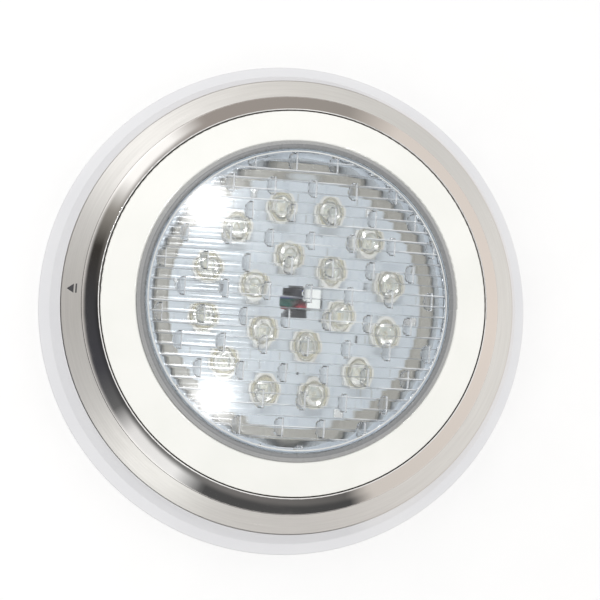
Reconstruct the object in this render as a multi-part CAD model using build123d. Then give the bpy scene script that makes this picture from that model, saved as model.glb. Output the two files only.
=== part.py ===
"""Surface-mounted underwater pool light: wall bracket, hinged lamp and its release pin.

Units are millimetres. +Z is the optical axis, out of the wall; the origin is the centre of the
bracket's back face; +Y is the top of the light when it hangs on a wall.
"""
from build123d import *
import math
import os

# Driving dimensions: wall bracket
RIM_R = 147.5              # widest radius, the flared rim on the wall
FLOOR_T = 3.0              # bracket floor
WALL_R_OUT = 131.0         # upright wall that stands inside the trim ring's skirt
WALL_R_IN = 128.0
WALL_TOP = 22.3
SHOULDER_Z = 13.6          # ledge below the skirt
CABLE_HOLE_R = 16.5
WALL_SCREW_PCD = 200.0
WALL_SCREW_R = 2.75

# Trim ring (pressed sheet)
SHEET_T = 1.2
SKIRT_R = 132.8
SKIRT_BOTTOM = 14.2
SKIRT_TOP = 23.8
BEVEL_FOOT = (119.7, 33.9)     # where the brushed flange meets the polished bevel
INNER_WALL_R = 109.25
CREST_Z = 44.6
RETURN_Z = 41.4                # top of the return flange behind the face ring
RETURN_R = 101.5

# Face ring
FACE_R_OUT = 109.0
FACE_R_IN = 89.1
FACE_Z_OUT = 43.9
FACE_Z_IN = 54.0
FACE_T = 2.6                   # measured along the axis
FACE_SLOPE = (FACE_Z_IN - FACE_Z_OUT) / (FACE_R_OUT - FACE_R_IN)

# Lens and gasket
LENS_R = 84.4
LENS_EDGE_Z = 55.8
LENS_CROWN_Z = 60.0
LENS_T = 3.4                   # at the crown
LENS_SIDE_T = 1.2
LENS_FLANGE = (46.0, 49.0)     # lower and upper face of the clamped flange
LENS_FLANGE_R = 90.0

# Rear shell
SHELL_R_IN = 80.4
SHELL_FLANGE = (41.8, 44.5)
SHELL_FLANGE_R = 100.5
SHELL_BOTTOM = 21.0
SHELL_T = 3.0

# Light engine
BOARD_R = 73.4
BOARD_Z = (35.4, 37.0)
SINK_Z = (32.3, 35.3)
LAMP_TURN = 4.0                # the light engine sits this many degrees round from the ring's mark
OUTER_LEDS = (12, 53.2, 9.0)   # count, radius, first angle before LAMP_TURN
INNER_LEDS = (6, 25.6, 10.0)
HOLDER_R = 9.0
OPTIC_R = 7.9
BOARD_SCREWS = (6, 67.5, 24.0)

# Screws: count, radius, first angle
SHELL_SCREWS = (8, 97.3, 22.5)
TRIM_SCREWS = (6, 104.6, 0.0)

# Hook at the bottom and release pin at the top
HINGE_Y = -126.0
HINGE_Z = 13.0
HOOK_BAR_R = 2.0
HOOK_SHEET_T = 2.0
RIVET_X = 10.0
RIVET_Y = -103.8
LOCK_Z = 18.0
PIN_R = 2.2
COLLAR_R = 2.8
SLEEVE_R = 3.6
SLEEVE_FROM = 115.0            # inner end of the sleeve, along Y

# Cable gland
GLAND_TOP = 28.0
GLAND_BOTTOM = 5.0
CABLE_BORE_R = 3.6


def at(radius, angle, z=0.0):
    """Place something on a circle about the optical axis."""
    rad = math.radians(angle)
    return Pos(radius * math.cos(rad), radius * math.sin(rad), z)


def ring_of(layout):
    """Angles of a ring layout (count, radius, first angle)."""
    count, _, first = layout
    return [first + 360.0 * i / count for i in range(count)]


def spin(points, *rounds):
    """Revolve a closed (radius, z) outline about Z; rounds are (radius, z, fillet)."""
    outline = make_face(Polyline([(r, 0, z) for r, z in points], close=True))
    for r, z, size in rounds:
        outline = round_corner(outline, (r, 0, z), size)
    return revolve(outline, axis=Axis.Z)


def round_corner(outline, point, size):
    """Round the corner of a flat outline that lies nearest to a point."""
    face = outline.faces()[0]
    corner = face.vertices().sort_by_distance(Vector(*point))[0]
    return face.fillet_2d(size, [corner])


def sheet_outline(path, thickness):
    """Close a (radius, z) path into a strip of even thickness on its left side, with mitred corners."""
    count = len(path)
    offset = []
    for i in range(count):
        before = unit(path[i - 1], path[i]) if i > 0 else unit(path[0], path[1])
        after = unit(path[i], path[i + 1]) if i < count - 1 else before
        nx, nz = -(before[1] + after[1]), before[0] + after[0]
        scale = 2.0 * thickness / (nx * nx + nz * nz)
        offset.append((path[i][0] + nx * scale, path[i][1] + nz * scale))
    return list(path) + offset[::-1]


def unit(a, b):
    """Unit direction from a to b."""
    length = math.hypot(b[0] - a[0], b[1] - a[1])
    return ((b[0] - a[0]) / length, (b[1] - a[1]) / length)


def rod(radius, length, z=0.0):
    """Upright cylinder standing on z."""
    return Pos(0, 0, z) * extrude(Circle(radius), length)


def tube(r_out, r_in, z0, z1):
    """Upright ring between two heights."""
    return rod(r_out, z1 - z0, z0) - rod(r_in, z1 - z0, z0)


def box(x, y, z):
    """Box between (low, high) pairs."""
    size = Box(x[1] - x[0], y[1] - y[0], z[1] - z[0])
    return Pos((x[0] + x[1]) / 2, (y[0] + y[1]) / 2, (z[0] + z[1]) / 2) * size


def face_z(radius):
    """Height of the face ring's front at a radius."""
    return FACE_Z_OUT + (FACE_R_OUT - radius) * FACE_SLOPE


def pan_screw(head_r, head_h, shank_r, z_head, z_tip, slot=0.8):
    """Screw driven upwards: its head lies just below z_head, its shank ends at z_tip."""
    head = fillet(rod(head_r, head_h, z_head - head_h).edges().group_by(Axis.Z)[0], head_h * 0.35)
    cross = Box(head_r * 1.3, slot, head_h) + Box(slot, head_r * 1.3, head_h)
    shank = rod(shank_r, z_tip - z_head, z_head)
    return head + shank - Pos(0, 0, z_head - head_h) * cross


# ---------------------------------------------------------------- wall bracket

def wall_bracket():
    """Moulded dish: floor, upright wall, flared rim, ribs, cradles and screw bosses."""
    outline = [
        (CABLE_HOLE_R, 0), (129.0, 0), (129.0, 11.2), (132.4, 11.2), (139.4, 3.2), (145.2, 0),
        (RIM_R, 0), (RIM_R, 1.5), (140.8, 5.2), (134.2, 13.0), (133.2, SHOULDER_Z),
        (WALL_R_OUT, SHOULDER_Z), (WALL_R_OUT, WALL_TOP), (WALL_R_IN, WALL_TOP), (WALL_R_IN, 14.0),
        (125.6, 10.0), (125.6, FLOOR_T), (CABLE_HOLE_R, FLOOR_T),
    ]
    dish = spin(outline, (RIM_R, 1.5, 1.0), (140.8, 5.2, 3.0), (125.6, FLOOR_T, 2.0))
    dish += tube(CABLE_HOLE_R + 2.5, CABLE_HOLE_R, FLOOR_T, 4.6)
    dish += tube(70.0, 67.5, FLOOR_T, 7.0)
    for i in range(12):
        rib = box((CABLE_HOLE_R + 2.0, 124.8), (-1.1, 1.1), (FLOOR_T - 0.5, 7.0))
        dish += Rot(0, 0, 15 + 30 * i) * rib
    for i in range(36):
        gusset = make_face(Polyline([(128.6, 0, 0.5), (128.6, 0, 11.4), (132.5, 0, 11.4),
                                     (139.6, 0, 3.4), (139.6, 0, 0.5)], close=True))
        dish += Rot(0, 0, 5 + 10 * i) * Pos(0, 0.8, 0) * extrude(gusset, 1.6, dir=(0, -1, 0))
    dish -= hook_relief()
    dish += tube(136.2, 128.8, 8.1, 10.2) & relief_sector()
    dish += cradles() + lock_boss()
    for i in range(4):
        dish += at(WALL_SCREW_PCD / 2, 45 + 90 * i, FLOOR_T - 0.5) * rod(7.0, 3.5)
        dish -= at(WALL_SCREW_PCD / 2, 45 + 90 * i) * rod(WALL_SCREW_R, 8, -1)
        dish -= at(WALL_SCREW_PCD / 2, 45 + 90 * i, 3.4) * Cone(WALL_SCREW_R, 5.4, 2.7,
                                                               align=(Align.CENTER, Align.CENTER, Align.MIN))
    dish -= along_y(SLEEVE_FROM - 0.05) * rod(SLEEVE_R + 0.03, WALL_R_IN - SLEEVE_FROM + 0.1)
    dish -= along_y(SLEEVE_FROM) * rod(PIN_R + 0.4, 20.0)
    return dish


def hook_relief():
    """Room in the wall and shoulder for the skirt and the hook's ears."""
    wedge = relief_sector()
    upper = tube(134.6, 120.0, 8.6, 40.0) & wedge
    shelf = tube(142.0, 134.0, 12.0, 40.0) & wedge
    return upper + shelf


def relief_sector():
    """Wedge of space over 20 degrees each way of the bottom."""
    return extrude(make_face(Polyline([(0, 0), (-60, -160), (60, -160)], close=True)), 40)


def cradles():
    """Two open cradles that carry the hook bar."""
    blocks = None
    for side in (-1, 1):
        block = box((side * 9 - 3, side * 9 + 3), (-129.6, -120.5), (FLOOR_T - 0.5, 16.0))
        block = fillet(block.edges().filter_by(Axis.X).group_by(Axis.Z)[-1], 1.2)
        block -= Pos(side * 9, HINGE_Y, HINGE_Z) * Rot(0, 90, 0) * Cylinder(HOOK_BAR_R + 0.06, 8)
        block -= box((side * 9 - 4, side * 9 + 4), (HINGE_Y - 2.06, HINGE_Y + 2.06), (HINGE_Z, 20))
        blocks = block if blocks is None else blocks + block
    return blocks


def lock_boss():
    """Boss behind the wall at the top, for the sleeve of the release pin."""
    boss = box((-7, 7), (SLEEVE_FROM - 1.5, 129.5), (FLOOR_T - 0.5, WALL_TOP))
    return fillet(boss.edges().filter_by(Axis.Z).group_by(Axis.Y)[0], 3.0)


def along_y(start):
    """Turn something that stands on Z to point outwards along +Y from a start."""
    return Pos(0, start, LOCK_Z) * Rot(-90, 0, 0)


def lock_sleeve():
    """Brass sleeve in the boss: closed back, spring chamber and guide bore."""
    length = WALL_R_IN - SLEEVE_FROM
    guide = 2.4
    body = rod(SLEEVE_R, length) - rod(COLLAR_R + 0.1, length - guide - 1.0, 1.0)
    body -= rod(PIN_R + 0.06, length)
    body += rod(SLEEVE_R, 1.0)
    grooves = tube(SLEEVE_R + 0.2, SLEEVE_R - 0.25, 4.0, 4.6) + tube(SLEEVE_R + 0.2, SLEEVE_R - 0.25, 7.0, 7.6)
    return along_y(SLEEVE_FROM) * (body - grooves)


def lock_pin():
    """Spring-loaded release pin, flush with the skirt, with a stop collar inside the sleeve."""
    collar_from = WALL_R_IN - 2.4 - 0.1 - 2.5
    shank = fillet(rod(PIN_R, SKIRT_R - 0.1 - collar_from).edges().group_by(Axis.Z)[-1], 0.7)
    recess = Pos(0, 0, SKIRT_R - 0.1 - collar_from - 0.6) * Cylinder(0.9, 1.2)
    return along_y(collar_from) * (shank + rod(COLLAR_R, 2.5) - recess)


def lock_spring():
    """Coil spring between the sleeve's back and the pin's collar."""
    length = WALL_R_IN - 5.0 - SLEEVE_FROM - 1.0 - 0.8
    line = Helix(pitch=length / 5.5, height=length, radius=COLLAR_R - 0.5)
    start = Plane(origin=line @ 0, z_dir=line % 0)
    coil = sweep(start * Circle(0.28), path=line, is_frenet=True)
    return along_y(SLEEVE_FROM + 1.0 + 0.4) * coil


# ---------------------------------------------------------------- front of the lamp

def trim_ring():
    """Pressed ring: skirt, brushed flange, polished bevel, inner wall and return flange."""
    path = [(SKIRT_R, SKIRT_BOTTOM), (SKIRT_R, SKIRT_TOP), BEVEL_FOOT, (INNER_WALL_R, CREST_Z),
            (INNER_WALL_R, RETURN_Z), (RETURN_R, RETURN_Z)]
    ring = spin(sheet_outline(path, SHEET_T), (SKIRT_R, SKIRT_TOP, 2.4), (INNER_WALL_R, CREST_Z, 0.6))
    ring -= along_y(130.0) * rod(PIN_R + 0.4, 5.0)
    for angle in ring_of(TRIM_SCREWS):
        ring -= at(TRIM_SCREWS[1], angle, RETURN_Z - 3) * rod(1.65, 5)
    for side in (-1, 1):
        ring -= Pos(side * RIVET_X, RIVET_Y, RETURN_Z - 3) * rod(1.55, 5)
    return ring


def face_ring():
    """White cone between steel and lens, with its register, outer skirt and screw bosses."""
    outline = [
        (FACE_R_OUT, 41.5), (FACE_R_OUT, FACE_Z_OUT), (FACE_R_IN, FACE_Z_IN), (FACE_R_IN, 50.7),
        (92.0, 50.7), (92.0, 44.6), (94.5, 44.6), (94.5, face_z(94.5) - FACE_T),
        (106.3, face_z(106.3) - FACE_T), (106.3, 41.5),
    ]
    ring = spin(outline, (FACE_R_OUT, FACE_Z_OUT, 1.2), (FACE_R_IN, FACE_Z_IN, 0.8))
    bosses = [(SHELL_SCREWS, 3.0, 44.6, 1.4, 48.3), (TRIM_SCREWS, 2.9, 41.5, 1.4, 44.9)]
    for layout, boss_r, foot, hole_r, top in bosses:
        for angle in ring_of(layout):
            height = face_z(layout[1] + boss_r) - 0.8 - foot
            ring += at(layout[1], angle, foot) * rod(boss_r, height)
            ring -= at(layout[1], angle, foot - 1) * rod(hole_r, top - foot + 1)
    return ring


def lens():
    """Crowned clear lens with a straight side and a clamped flange."""
    rise = LENS_CROWN_Z - LENS_EDGE_Z
    ball = (LENS_R ** 2 + rise ** 2) / (2 * rise)
    low, high = LENS_FLANGE
    side_in = LENS_R - LENS_SIDE_T
    inner_edge = LENS_CROWN_Z - LENS_T - (ball - math.sqrt(ball ** 2 - side_in ** 2))
    outer_mid = arc_point(ball, LENS_R / 2, LENS_CROWN_Z)
    inner_mid = arc_point(ball, side_in / 2, LENS_CROWN_Z - LENS_T)
    line = Polyline([(LENS_R, 0, LENS_EDGE_Z), (LENS_R, 0, high), (LENS_FLANGE_R, 0, high),
                     (LENS_FLANGE_R, 0, low), (side_in, 0, low), (side_in, 0, inner_edge)])
    inner = ThreePointArc((side_in, 0, inner_edge), inner_mid, (0, 0, LENS_CROWN_Z - LENS_T))
    axis_line = Line((0, 0, LENS_CROWN_Z - LENS_T), (0, 0, LENS_CROWN_Z))
    outer = ThreePointArc((0, 0, LENS_CROWN_Z), outer_mid, (LENS_R, 0, LENS_EDGE_Z))
    profile = make_face([line, inner, axis_line, outer])
    return revolve(round_corner(profile, (LENS_R, 0, LENS_EDGE_Z), 1.5), axis=Axis.Z)


def arc_point(ball, radius, top):
    """Point of a crowned surface at a radius."""
    return (radius, 0, top - (ball - math.sqrt(ball ** 2 - radius ** 2)))


def lens_gasket():
    """Silicone rim that wraps the lens side and is clamped by the face ring."""
    outline = [
        (LENS_R + 0.1, 49.1), (91.6, 49.1), (91.6, 50.6), (FACE_R_IN - 0.1, 50.6), (FACE_R_IN - 0.1, 54.3),
        (86.4, 56.5), (LENS_R + 0.1, 56.5),
    ]
    return spin(outline, (FACE_R_IN - 0.1, 54.3, 0.6), (86.4, 56.5, 0.8), (LENS_R + 0.1, 56.5, 0.7))


# ---------------------------------------------------------------- rear of the lamp

def rear_shell():
    """Rear housing: stepped flange, tapered wall, bottom, board bosses and driver posts."""
    low, high = SHELL_FLANGE
    outline = [
        (12.2, SHELL_BOTTOM), (72.0, SHELL_BOTTOM), (78.0, 25.5), (83.6, 34.0), (84.0, low),
        (SHELL_FLANGE_R, low), (SHELL_FLANGE_R, high), (91.5, high), (91.5, 45.9), (81.0, 45.9),
        (SHELL_R_IN, 34.0), (75.4, 27.4), (72.4, SHELL_BOTTOM + SHELL_T),
        (12.2, SHELL_BOTTOM + SHELL_T),
    ]
    shell = spin(outline, (72.0, SHELL_BOTTOM, 2.0), (72.4, SHELL_BOTTOM + SHELL_T, 1.5))
    shell -= tube(87.4, 84.8, 43.3, 47.0)
    for angle in ring_of(SHELL_SCREWS):
        shell -= at(SHELL_SCREWS[1], angle, low - 1) * rod(1.75, 6)
    for angle in ring_of(BOARD_SCREWS):
        boss = at(BOARD_SCREWS[1], angle, SHELL_BOTTOM + 1) * rod(3.6, SINK_Z[0] - SHELL_BOTTOM - 1.1)
        shell += boss
        shell -= at(BOARD_SCREWS[1], angle, 25.0) * rod(1.35, 10)
    for angle in (90, 210, 330):
        post = at(38.0, angle, SHELL_BOTTOM + 1) * (rod(3.4, 3.9) - rod(1.15, 5.0, 0.6))
        shell += post
    for i in range(16):
        rib = make_face(Polyline([(82.2, 0, 41.9), (96.0, 0, 41.9), (84.6, 0, 33.0), (82.2, 0, 31.6)],
                                 close=True))
        shell += Rot(0, 0, 11.25 + 22.5 * i) * Pos(0, 0.9, 0) * extrude(rib, 1.8, dir=(0, -1, 0))
    return shell


def shell_oring():
    """O-ring in the rear shell's groove, under the lens flange."""
    return Pos(0, 0, 44.62) * Torus(86.1, 1.26)


def screws_on(layout, **screw):
    """Identical screws on a circle."""
    group = [at(layout[1], angle) * pan_screw(**screw) for angle in ring_of(layout)]
    return Compound(children=group)


def shell_screws():
    """Screws through the shell's flange into the face ring."""
    return screws_on(SHELL_SCREWS, head_r=2.7, head_h=2.0, shank_r=1.35, z_head=41.7, z_tip=48.0)


def trim_screws():
    """Screws through the trim ring's return flange into the face ring."""
    return screws_on(TRIM_SCREWS, head_r=2.5, head_h=1.9, shank_r=1.35, z_head=40.1, z_tip=44.6)


# ---------------------------------------------------------------- hook

def hook_plate():
    """Bent steel bracket: leaf under the return flange, back plate and two ears."""
    leaf_top = RETURN_Z - SHEET_T - 0.1
    leaf = box((-17, 17), (-110.5, -101.5), (leaf_top - HOOK_SHEET_T, leaf_top))
    back = box((-17, 17), (-110.5, -110.5 + HOOK_SHEET_T), (HINGE_Z - 3.2, leaf_top))
    plate = leaf + back
    for side in (-1, 1):
        x = (side * 15.9 - 1.1, side * 15.9 + 1.1)
        ear = box(x, (HINGE_Y, -109.0), (HINGE_Z - 3.2, HINGE_Z + 3.2))
        ear += box(x, (-116.0, -109.0), (HINGE_Z, HINGE_Z + 12))
        knuckle = Pos(side * 15.9, HINGE_Y, HINGE_Z) * Rot(0, 90, 0) * Cylinder(3.2, 2.2)
        plate += ear + knuckle
    plate -= Pos(0, HINGE_Y, HINGE_Z) * Rot(0, 90, 0) * Cylinder(HOOK_BAR_R + 0.03, 50)
    plate -= Pos(0, -109.5, 26.0) * Rot(90, 0, 0) * Cylinder(5.0, 6)
    for side in (-1, 1):
        plate -= Pos(side * RIVET_X, RIVET_Y, leaf_top - 4) * rod(1.55, 6)
    return plate


def hook_bar():
    """Steel bar on which the lamp hangs and tilts."""
    bar = Pos(0, HINGE_Y, HINGE_Z) * Rot(0, 90, 0) * Cylinder(HOOK_BAR_R, 36.0)
    return chamfer(bar.edges().filter_by(GeomType.CIRCLE), 0.4)


def hook_rivets():
    """Two rivets that hold the hook plate to the return flange."""
    under_leaf = RETURN_Z - SHEET_T - 0.1 - HOOK_SHEET_T
    head = fillet(rod(2.0, 1.2, under_leaf - 1.25).edges().group_by(Axis.Z)[0], 0.6)
    shank = rod(1.5, RETURN_Z + 0.5 - under_leaf, under_leaf - 0.4)
    tail = fillet(rod(1.9, 0.8, RETURN_Z + 0.05).edges().group_by(Axis.Z)[-1], 0.3)
    rivet = head + shank + tail
    return Compound(children=[Pos(side * RIVET_X, RIVET_Y, 0) * rivet for side in (-1, 1)])


# ---------------------------------------------------------------- light engine

def led_places():
    """(x, y) of every LED, outer ring first."""
    places = []
    for count, radius, first in (OUTER_LEDS, INNER_LEDS):
        for i in range(count):
            rad = math.radians(first + LAMP_TURN + 360.0 * i / count)
            places.append((radius * math.cos(rad), radius * math.sin(rad)))
    return places


def led_board():
    """Round aluminium-core board with a central wire hole."""
    board = tube(BOARD_R, 9.5, *BOARD_Z)
    for angle in ring_of(BOARD_SCREWS):
        board -= at(BOARD_SCREWS[1], angle, BOARD_Z[0] - 1) * rod(1.7, 4)
    return board


def heat_sink():
    """Aluminium plate that carries the heat of the board to the shell."""
    plate = tube(BOARD_R, 12.0, *SINK_Z)
    for angle in ring_of(BOARD_SCREWS):
        plate -= at(BOARD_SCREWS[1], angle, SINK_Z[0] - 1) * rod(1.7, 5)
    for i in range(18):
        plate -= Rot(0, 0, 20 * i + 6) * box((20, 60), (-0.8, 0.8), (SINK_Z[0] - 1, SINK_Z[0] + 1.2))
    return plate


def led_chips():
    """Square emitters with a low dome."""
    chip = Box(5.0, 5.0, 1.1, align=(Align.CENTER, Align.CENTER, Align.MIN))
    chip += Pos(0, 0, 1.0) * Cone(1.9, 1.2, 0.8, align=(Align.CENTER, Align.CENTER, Align.MIN))
    return Compound(children=[Pos(x, y, BOARD_Z[1]) * chip for x, y in led_places()])


def optic_holders():
    """Round holders with three legs that stand on the board."""
    holder = tube(HOLDER_R, OPTIC_R + 0.1, 2.2, 8.6) + tube(HOLDER_R, 5.6, 1.4, 2.4)
    for i in range(3):
        holder += Rot(0, 0, 120 * i) * Pos(HOLDER_R - 1.2, 0, 0.05) * rod(1.0, 2.0)
    return Compound(children=[Pos(x, y, BOARD_Z[1]) * holder for x, y in led_places()])


def led_optics():
    """Clear collimators: a cone under a rimmed disc."""
    outline = [(0, 2.6), (3.4, 2.6), (7.2, 7.4), (OPTIC_R, 7.4), (OPTIC_R, 8.8), (0, 8.8)]
    optic = spin(outline)
    return Compound(children=[Pos(x, y, BOARD_Z[1]) * optic for x, y in led_places()])


def board_screws():
    """Screws through board and plate into the shell's bosses, driven from the front."""
    head = fillet(rod(2.7, 1.9).edges().group_by(Axis.Z)[-1], 0.6)
    cross = Pos(0, 0, 1.5) * (Box(3.4, 0.8, 1.2) + Box(0.8, 3.4, 1.2))
    screw = head + rod(1.3, 11.2, -11.2) - cross
    return Compound(children=[at(BOARD_SCREWS[1], angle, BOARD_Z[1] + 0.05) * screw
                              for angle in ring_of(BOARD_SCREWS)])


def board_ring():
    """Beige ring that covers the edge of the board."""
    outline = [(BOARD_R + 0.15, 34.6), (79.9, 34.6), (79.9, 37.6), (78.6, 38.9), (73.2, 38.9),
               (72.2, 38.1), (72.2, 37.1), (BOARD_R + 0.15, 37.1)]
    return spin(outline)


# ---------------------------------------------------------------- driver

def driver_board():
    """Driver board above the gland, on three posts."""
    board = tube(44.0, 15.5, 26.1, 27.7)
    for angle in (90, 210, 330):
        board -= at(38.0, angle, 25) * rod(1.35, 4)
    return board


def driver_screws():
    """Three short screws of the driver board."""
    head = fillet(rod(2.2, 1.4).edges().group_by(Axis.Z)[-1], 0.4)
    screw = head + rod(1.1, 3.6, -3.6) - Pos(0, 0, 1.2) * (Box(2.8, 0.7, 0.9) + Box(0.7, 2.8, 0.9))
    return Compound(children=[at(38.0, angle, 27.75) * screw for angle in (90, 210, 330)])


def driver_capacitors():
    """Low capacitors lying round the board."""
    can = fillet(Cylinder(1.9, 9.0).edges(), 0.3)
    lying = [Rot(0, 0, angle) * Pos(30, 0, 29.75) * Rot(90, 0, 0) * can for angle in (8, 150, 252, 310)]
    return Compound(children=lying)


def driver_coils():
    """Flat shielded coils."""
    coil = fillet(Box(9, 9, 4.0).edges().filter_by(Axis.Z), 1.5)
    return Compound(children=[Rot(0, 0, angle) * Pos(28, 0, 29.8) * coil for angle in (180, 282)])


def driver_chips():
    """Flat controller packages."""
    chip = chamfer(Box(6, 5, 1.6).edges().group_by(Axis.Z)[-1], 0.3)
    return Compound(children=[Rot(0, 0, angle) * Pos(26, 0, 28.6) * chip for angle in (72, 120, 232)])


def terminal_block():
    """Two-way terminal block for the supply cable."""
    block = chamfer(Box(11, 8, 4.2).edges().group_by(Axis.Z)[-1], 0.5)
    for side in (-1, 1):
        block -= Pos(side * 2.6, 0, 1.2) * Cylinder(1.6, 3)
        block -= Pos(side * 2.6, -3, -0.4) * Box(2.6, 4, 2.2)
    return Rot(0, 0, 318) * Pos(0, 30, 29.9) * block


# ---------------------------------------------------------------- leads

LEAD_R = 0.75
LEADS = {
    "lead_red": [(-6.0, 20.0, 28.6), (-4.8, 13.5, 29.4), (-3.4, 7.0, 32.2), (-3.0, 4.4, 38.0),
                 (-2.2, 0.0, 41.4), (-2.2, -5.5, 41.4)],
    "lead_green": [(-0.5, 20.0, 28.6), (-0.6, 13.5, 29.4), (-0.4, 6.6, 32.0), (-0.4, 3.2, 37.4),
                   (0.3, -0.4, 41.0), (0.3, -5.5, 41.0)],
    "lead_blue": [(4.0, 20.0, 28.6), (3.4, 13.5, 29.4), (2.4, 6.6, 32.4), (2.8, 4.4, 38.0),
                  (2.8, 0.4, 41.4), (2.8, -5.5, 41.4)],
    "lead_black": [(8.0, 19.0, 28.6), (7.2, 12.4, 29.4), (6.0, 6.0, 32.4), (5.4, 3.0, 37.2),
                   (5.2, 0.0, 41.0), (5.2, -5.5, 41.0)],
}


def lead_radii(points):
    """Bend radii at the inner points: 0.45 of the shorter run over the tangent of half the turn."""
    radii = []
    for a, b, c in zip(points, points[1:], points[2:]):
        run_in, run_out = Vector(*b) - Vector(*a), Vector(*c) - Vector(*b)
        half = math.radians(run_in.get_angle(run_out)) / 2
        radii.append(0.45 * min(run_in.length, run_out.length) / math.tan(half))
    return radii


def lead(points):
    """Insulated lead along its route."""
    route = FilletPolyline(*points, radius=lead_radii(points))
    start = Plane(origin=points[0], z_dir=Vector(*points[1]) - Vector(*points[0]))
    return sweep(start * Circle(LEAD_R), path=route)


def lead_connector():
    """White plug on the board beside the wire hole, into which the leads go."""
    base = box((-4.0, 7.0), (-13.0, -5.6), (BOARD_Z[1] + 0.05, 43.4))
    base = fillet(base.edges().filter_by(Axis.Y), 0.8)
    base -= box((-4.6, -3.6), (-7.0, -4.6), (38.0, 43.0))
    return base


# ---------------------------------------------------------------- cable gland

def gland_body():
    """Threaded gland body with a hexagon collar under the shell."""
    collar = Pos(0, 0, 17.4) * extrude(RegularPolygon(11.8, 6), 3.0)
    collar = collar & Pos(0, 0, 17.4) * fillet(Cylinder(11.6, 3.0, align=(Align.CENTER, Align.CENTER, Align.MIN))
                                               .edges(), 0.7)
    body = collar + rod(7.9, GLAND_TOP - 20.0, 20.0) + rod(8.2, 7.4, 10.2)
    return body - rod(5.2, 40, 0) - rod(6.4, 5.0, 10.2)


def gland_seal():
    """Rubber bush that grips the supply cable."""
    return tube(5.1, CABLE_BORE_R, 11.0, 23.0)


def gland_cap():
    """Dome nut with flutes, open for the cable."""
    cap = spin([(4.6, GLAND_BOTTOM), (8.0, GLAND_BOTTOM), (10.6, 7.6), (10.6, 17.0), (8.35, 17.0),
                (8.35, 9.6), (4.6, 9.6)], (10.6, 7.6, 1.5))
    for i in range(12):
        cap -= Rot(0, 0, 30 * i) * Pos(11.2, 0, 8.6) * rod(1.1, 10)
    return cap


def gland_locknut():
    """Hexagon nut inside the shell."""
    nut = Pos(0, 0, 24.1) * extrude(RegularPolygon(12.0, 6), 3.2)
    return nut - rod(7.98, 10, 20)


def gland_oring():
    """O-ring between the hexagon collar and the shell."""
    return Pos(0, 0, 20.72) * Torus(9.6, 0.27)


NODES = {
    "wall_bracket": wall_bracket, "lock_sleeve": lock_sleeve, "lock_spring": lock_spring,
    "lock_pin": lock_pin, "trim_ring": trim_ring, "face_ring": face_ring, "lens": lens,
    "lens_gasket": lens_gasket, "rear_shell": rear_shell, "shell_oring": shell_oring,
    "shell_screws": shell_screws, "trim_screws": trim_screws, "hook_plate": hook_plate,
    "hook_bar": hook_bar, "hook_rivets": hook_rivets, "led_board": led_board, "heat_sink": heat_sink,
    "led_chips": led_chips, "optic_holders": optic_holders, "led_optics": led_optics,
    "board_screws": board_screws, "board_ring": board_ring, "driver_board": driver_board,
    "driver_screws": driver_screws, "driver_capacitors": driver_capacitors,
    "driver_coils": driver_coils, "driver_chips": driver_chips, "terminal_block": terminal_block,
    "lead_connector": lead_connector, "gland_body": gland_body, "gland_seal": gland_seal,
    "gland_cap": gland_cap, "gland_locknut": gland_locknut, "gland_oring": gland_oring,
}

os.makedirs("parts", exist_ok=True)
for name, make in NODES.items():
    export_step(make(), f"parts/{name}.step")
for name, points in LEADS.items():
    print(name, "bend radii", [round(r, 1) for r in lead_radii(points)])
    export_step(lead(points), f"parts/{name}.step")
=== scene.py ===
"""Underwater pool light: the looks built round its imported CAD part.

All lengths are in metres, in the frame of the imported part: the back of the light lies at z = 0, the
optical axis is Z, the hook is at -Y and the release pin at +Y.
"""

import logging
import math
from dataclasses import dataclass
from enum import Enum
from typing import Any, Callable, Sequence, Union

import bpy
from mathutils import Matrix, Vector


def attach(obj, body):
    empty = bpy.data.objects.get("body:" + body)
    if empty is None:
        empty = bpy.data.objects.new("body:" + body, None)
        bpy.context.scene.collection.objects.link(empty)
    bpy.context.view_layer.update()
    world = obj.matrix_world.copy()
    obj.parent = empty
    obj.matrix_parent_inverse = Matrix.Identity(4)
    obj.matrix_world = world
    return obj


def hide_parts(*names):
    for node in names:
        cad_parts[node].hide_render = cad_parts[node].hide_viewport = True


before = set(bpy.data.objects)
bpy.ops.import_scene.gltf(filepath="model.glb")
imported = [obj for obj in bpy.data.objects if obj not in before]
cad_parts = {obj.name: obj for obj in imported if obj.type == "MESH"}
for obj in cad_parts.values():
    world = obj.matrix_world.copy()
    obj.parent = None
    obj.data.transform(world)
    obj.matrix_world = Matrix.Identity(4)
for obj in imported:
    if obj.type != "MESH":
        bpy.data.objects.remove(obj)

LOG = logging.getLogger("pool_light")
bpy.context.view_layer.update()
MM = 0.001

Colour = tuple[float, float, float]
Point = tuple[float, float, float]


class Body(Enum):
    """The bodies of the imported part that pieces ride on."""

    BRACKET = "bracket"
    LAMP = "lamp"
    PIN = "release_pin"


@dataclass(frozen=True)
class Relief:
    """Where the flutes and half-round bosses lie behind the cover: its mesh and its finish share them."""

    flute_pitch: float = 0.00588
    first: tuple[float, float] = (0.0033, 0.0171)
    row_pitch: float = 0.0147
    boss_pitch: float = 0.0229
    half_width: float = 0.0051
    length: float = 0.0046


RELIEF = Relief()


# ---------------------------------------------------------------- shader maths

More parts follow.
